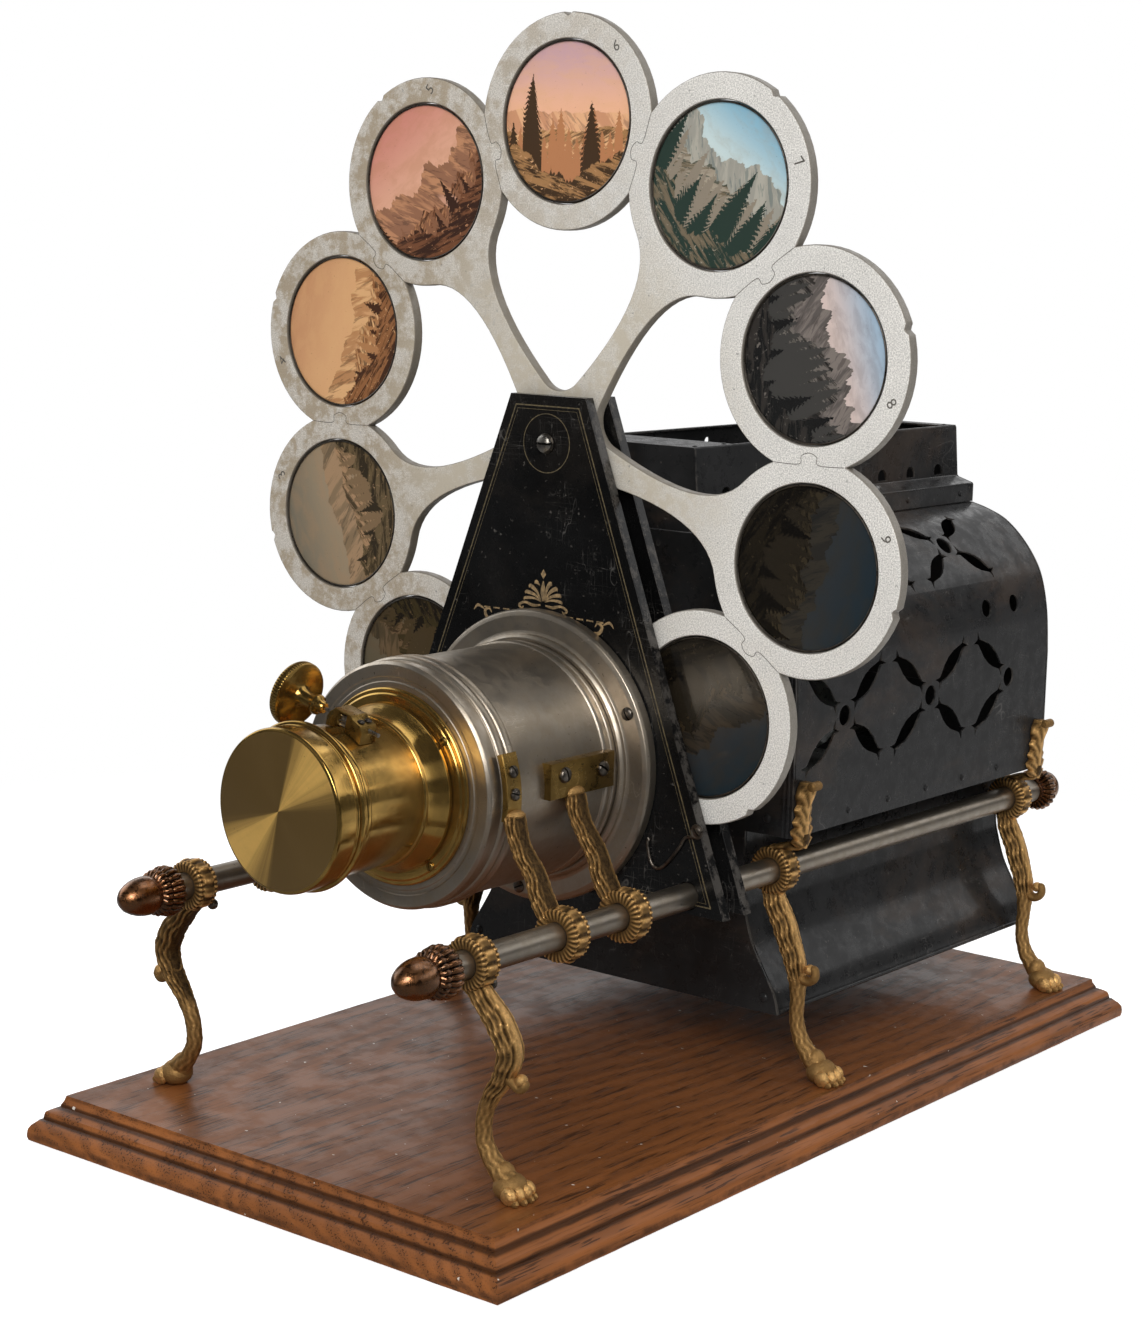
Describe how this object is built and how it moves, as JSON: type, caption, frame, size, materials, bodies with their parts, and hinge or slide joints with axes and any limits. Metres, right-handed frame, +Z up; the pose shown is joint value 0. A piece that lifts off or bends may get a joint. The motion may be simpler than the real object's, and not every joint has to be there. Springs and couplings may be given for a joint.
{
  "type": "magic lantern",
  "caption": "Table magic lantern: a wheel of round picture slides on a pivot between two shields, a focusing brass lens on a drum, a pierced oil-lamp house and six cast legs on a wooden board.",
  "frame": {"origin": "centre of the base board's flat underside", "axes": "+Z up, -Y the way the lens looks, +X to the right of someone who faces the lens from in front"},
  "size_m": [0.3794, 0.5429, 0.5214],
  "materials": {
    "oak": "varnished oak, worn",
    "nickel": "old nickel plate, stained",
    "copper": "copper-brown lacquer, worn",
    "gilt": "antique gilt casting",
    "brass": "polished and lacquered",
    "aluminium": "cast, fine grained",
    "japan": "gloss black japan",
    "iron": "worn black japan on sheet iron",
    "steel": "plain, darkened",
    "tin": "tinplate",
    "glass": "clear",
    "picture": "printed glass"
  },
  "bodies": {
    "stand": {"base_board": "oak", "guide_rod_left": "nickel", "front_finial_left": "copper", "rear_finial_left": "copper", "front_leg_left": "gilt", "middle_leg_left": "gilt", "rear_leg_left": "gilt", "front_drum_arm_left": "gilt", "rear_drum_arm_left": "gilt", "guide_rod_right": "nickel", "front_finial_right": "copper", "rear_finial_right": "copper", "front_leg_right": "gilt", "middle_leg_right": "gilt", "rear_leg_right": "gilt", "front_drum_arm_right": "gilt", "rear_drum_arm_right": "gilt", "lens_drum": "nickel", "drum_flange": "nickel", "lens_flange": "brass", "jacket_tube": "brass", "pinion_saddle": "brass", "condenser_cell": "brass", "burner": "brass", "wheel_pivot": "steel", "detent_spring": "steel", "condenser_lens_front": "glass", "condenser_lens_rear": "glass", "lamp_chimney": "glass", "front_shield": "japan", "rear_shield": "japan", "lamp_house_body": "iron", "lamp_house_front": "iron", "lamp_house_rear": "iron", "lamp_house_skirt": "iron", "chimney_box": "iron", "oil_tank": "tin", "reflector": "tin"},
    "wheel": {"slide_wheel": "aluminium", "slide_1": "picture", "slide_2": "picture", "slide_3": "picture", "slide_4": "picture", "slide_5": "picture", "slide_6": "picture", "slide_7": "picture", "slide_8": "picture", "slide_9": "picture", "slide_10": "picture", "wheel_bush": "brass"},
    "focus_tube": {"draw_tube": "brass", "lens_cell": "brass", "front_lens": "glass", "rear_lens": "glass", "focus_rack": "brass"},
    "focus_knob": {"focus_pinion": "steel", "focus_knob": "brass"},
    "cap": {"lens_cap": "brass"},
    "door": {"lamp_door": "iron"},
    "wick": {"wick_winder": "brass"}
  },
  "joints": [
    {"name": "wheel_turn", "type": "hinge", "parent": "stand", "child": "wheel", "pos_m": [0, -0.061, 0.3237], "axis": [0, 1, 0], "continuous": true},
    {"name": "focus_slide", "type": "slide", "parent": "stand", "child": "focus_tube", "axis": [0, -1, 0], "range_m": [0, 0.018]},
    {"name": "focus_turn", "type": "hinge", "parent": "stand", "child": "focus_knob", "pos_m": [0.00882, -0.2145, 0.21189], "axis": [0.9715, 0, -0.2368], "range_deg": [-305, 0]},
    {"name": "cap_pull", "type": "slide", "parent": "focus_tube", "child": "cap", "axis": [0, -1, 0], "range_m": [0, 0.035]},
    {"name": "door_swing", "type": "hinge", "parent": "stand", "child": "door", "pos_m": [-0.0775, 0.2396, 0], "axis": [0, 0, 1], "range_deg": [0, 110]},
    {"name": "wick_turn", "type": "hinge", "parent": "stand", "child": "wick", "pos_m": [0.012, 0.2366, 0.1538], "axis": [0, 1, 0], "range_deg": [-360, 360]}
  ],
  "couplings": [
    {"joint": "focus_turn", "follows": "focus_slide", "rad_per_m": -294.12}
  ]
}
